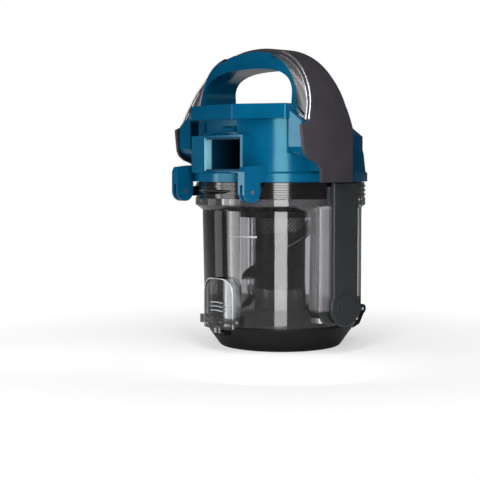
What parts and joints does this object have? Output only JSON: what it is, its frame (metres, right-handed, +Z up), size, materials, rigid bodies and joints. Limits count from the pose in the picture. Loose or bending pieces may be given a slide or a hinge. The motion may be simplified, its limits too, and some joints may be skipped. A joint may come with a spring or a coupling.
{
  "type": "cyclonic dust container",
  "caption": "Cyclonic dust container of a bagless canister vacuum cleaner: clear bin, drop-down lid, release button, hinged cover with filter and an arched carrying handle.",
  "frame": {"origin": "middle of the lid's round inlet at the flat bottom face that the container stands on", "axes": "+Z up along the bin's axis; -Y is the rear with the port, the cover's hinge ears and the release button; +X to the right when seen from the rear"},
  "size_m": [0.167, 0.1629, 0.254],
  "materials": {
    "lid_black": "fine moulded texture, satin",
    "clear_plastic": "clear, lightly smoked, polished",
    "clear_button": "clear, polished",
    "slate_plastic": "fine moulded texture, satin",
    "smoke_tube": "smoked translucent",
    "core_black": "polished",
    "screen_mesh": "finely perforated, satin",
    "ramp_smoke": "polished",
    "frame_black": "ribbed, polished",
    "filter_paper": "pleated non-woven",
    "filter_foam": "soft foam",
    "rubber": "matt",
    "petrol_blue": "moulded, semi-gloss",
    "duct_blue": "moulded, semi-gloss",
    "shell_grey": "fine moulded texture, satin",
    "silver_trim": "silver lacquer with a polished edge",
    "steel": "plain"
  },
  "bodies": {
    "container": {"bin_shell": "clear_plastic", "side_column_left": "slate_plastic", "side_column_right": "slate_plastic", "hub_cap_left": "slate_plastic", "hub_cap_right": "slate_plastic", "column_screws": "steel", "hinge_bracket": "slate_plastic", "bracket_screws": "steel", "lid_hinge_pin": "steel", "button_pin": "steel", "button_spring": "steel", "inlet_tube": "smoke_tube", "separator_core": "core_black", "screen_sleeve": "screen_mesh", "separator_head": "core_black", "helical_ramp": "ramp_smoke", "filter_frame": "frame_black", "pleated_filter": "filter_paper", "filter_rim": "filter_foam", "bin_seal": "rubber", "cover_seal": "rubber"},
    "lid": {"lid_shell": "lid_black", "lid_seal": "rubber", "collar_seal": "rubber", "lid_screw": "steel"},
    "button": {"release_button": "clear_button"},
    "cover": {"upper_housing": "petrol_blue", "cover_hinge_pins": "steel", "port_duct": "duct_blue", "deck": "petrol_blue", "handle_shell": "shell_grey", "handle_grip": "petrol_blue", "trim_left": "silver_trim", "trim_right": "silver_trim", "handle_screws": "steel", "latch_pin": "steel", "latch_spring": "steel"},
    "catch": {"cover_latch": "shell_grey"}
  },
  "joints": [
    {"name": "lid_hinge", "type": "hinge", "parent": "container", "child": "lid", "pos_m": [0, 0.07, 0.028], "axis": [1, 0, 0], "range_deg": [0, 90]},
    {"name": "button_press", "type": "hinge", "parent": "container", "child": "button", "pos_m": [0, -0.0686, 0.026], "axis": [-1, 0, 0], "range_deg": [0, 3.5], "stiffness_Nm_per_rad": 0.3, "springref_deg": -3.44},
    {"name": "cover_hinge", "type": "hinge", "parent": "container", "child": "cover", "pos_m": [0, -0.073, 0.1335], "axis": [1, 0, 0], "range_deg": [0, 80]},
    {"name": "catch_press", "type": "hinge", "parent": "cover", "child": "catch", "pos_m": [0, 0.0782, 0.149], "axis": [1, 0, 0], "range_deg": [0, 12], "stiffness_Nm_per_rad": 0.1, "springref_deg": -11.46}
  ]
}
